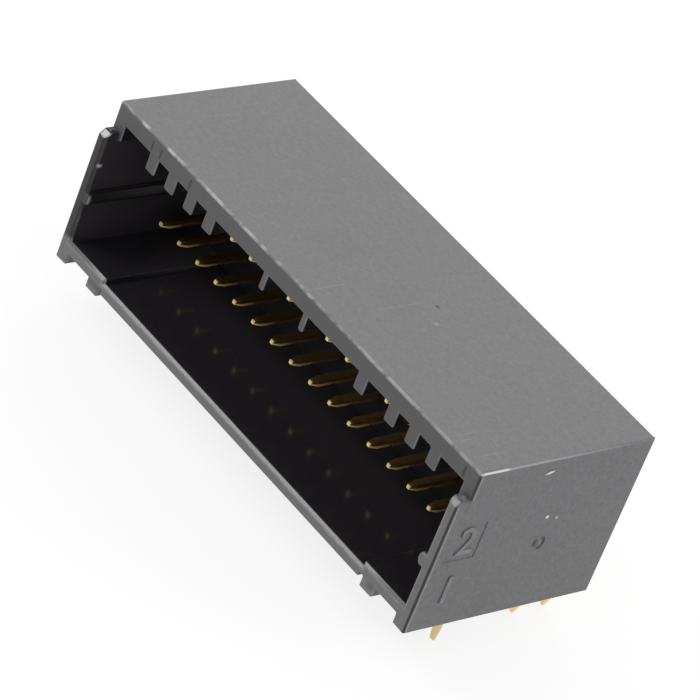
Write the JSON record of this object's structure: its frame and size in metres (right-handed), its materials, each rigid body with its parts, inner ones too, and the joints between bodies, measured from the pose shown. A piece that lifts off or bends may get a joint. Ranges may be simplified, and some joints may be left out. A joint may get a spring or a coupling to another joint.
{
  "type": "right-angle pin header",
  "caption": "Shrouded board header: two rows of square contacts turn down to the board inside a black keyed shroud that opens to the front.",
  "frame": {"origin": "centre of the pattern of solder tails, on the board plane", "axes": "+X along the rows of contacts, -Y out of the mouth of the shroud, +Z away from the board"},
  "size_m": [0.0462, 0.0186, 0.0182],
  "materials": {
    "moulding": "satin black moulded plastic",
    "contact_plating": "thin gold plating on square wire",
    "hold_down_plating": "plated strip"
  },
  "bodies": {
    "root": {"housing": "moulding", "contact_a01": "contact_plating", "contact_a02": "contact_plating", "contact_a03": "contact_plating", "contact_a04": "contact_plating", "contact_a05": "contact_plating", "contact_a06": "contact_plating", "contact_a07": "contact_plating", "contact_a08": "contact_plating", "contact_a09": "contact_plating", "contact_a10": "contact_plating", "contact_a11": "contact_plating", "contact_a12": "contact_plating", "contact_a13": "contact_plating", "contact_a14": "contact_plating", "contact_a15": "contact_plating", "contact_a16": "contact_plating", "contact_a17": "contact_plating", "contact_b01": "contact_plating", "contact_b02": "contact_plating", "contact_b03": "contact_plating", "contact_b04": "contact_plating", "contact_b05": "contact_plating", "contact_b06": "contact_plating", "contact_b07": "contact_plating", "contact_b08": "contact_plating", "contact_b09": "contact_plating", "contact_b10": "contact_plating", "contact_b11": "contact_plating", "contact_b12": "contact_plating", "contact_b13": "contact_plating", "contact_b14": "contact_plating", "contact_b15": "contact_plating", "contact_b16": "contact_plating", "contact_b17": "contact_plating", "hold_down_left": "hold_down_plating", "hold_down_right": "hold_down_plating"}
  },
  "joints": []
}
